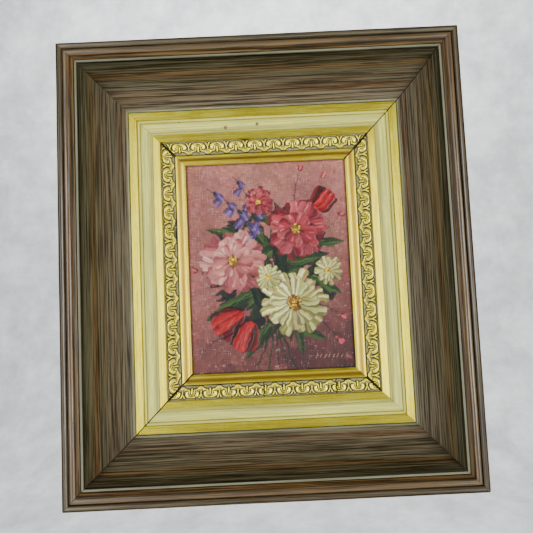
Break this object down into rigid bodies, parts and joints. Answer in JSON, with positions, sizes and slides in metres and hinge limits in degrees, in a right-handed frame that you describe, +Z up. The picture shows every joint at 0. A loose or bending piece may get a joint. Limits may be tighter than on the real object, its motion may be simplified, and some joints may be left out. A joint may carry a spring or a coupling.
{
  "type": "framed painting",
  "caption": "Small picture in a deep mitred frame: stained cove, cream and gilt steps, pressed scroll ornament and a gilt lip, hung by a toothed strip on the back.",
  "frame": {"origin": "middle of the hanger's raised flat, on its wall side, where the nail in the wall carries it", "axes": "+X right of someone facing the picture, +Z up, the picture faces -Y and the wall is at Y = 0"},
  "size_m": [0.2086, 0.0439, 0.236],
  "materials": {
    "moulding": "stained wood with a rubbed dark glaze, grey-green, cream and gilt steps",
    "ornament": "pressed composition, worn gilding over a grey-green ground",
    "painting": "oil paint on canvas board",
    "hanger": "brass-plated steel strip",
    "nails": "plated steel"
  },
  "bodies": {
    "root": {"rail_top": "moulding", "rail_right": "moulding", "rail_bottom": "moulding", "rail_left": "moulding", "ornament_top": "ornament", "ornament_right": "ornament", "ornament_bottom": "ornament", "ornament_left": "ornament", "painting": "painting", "hanger": "hanger", "hanger_nail_left": "nails", "hanger_nail_right": "nails"}
  },
  "joints": []
}
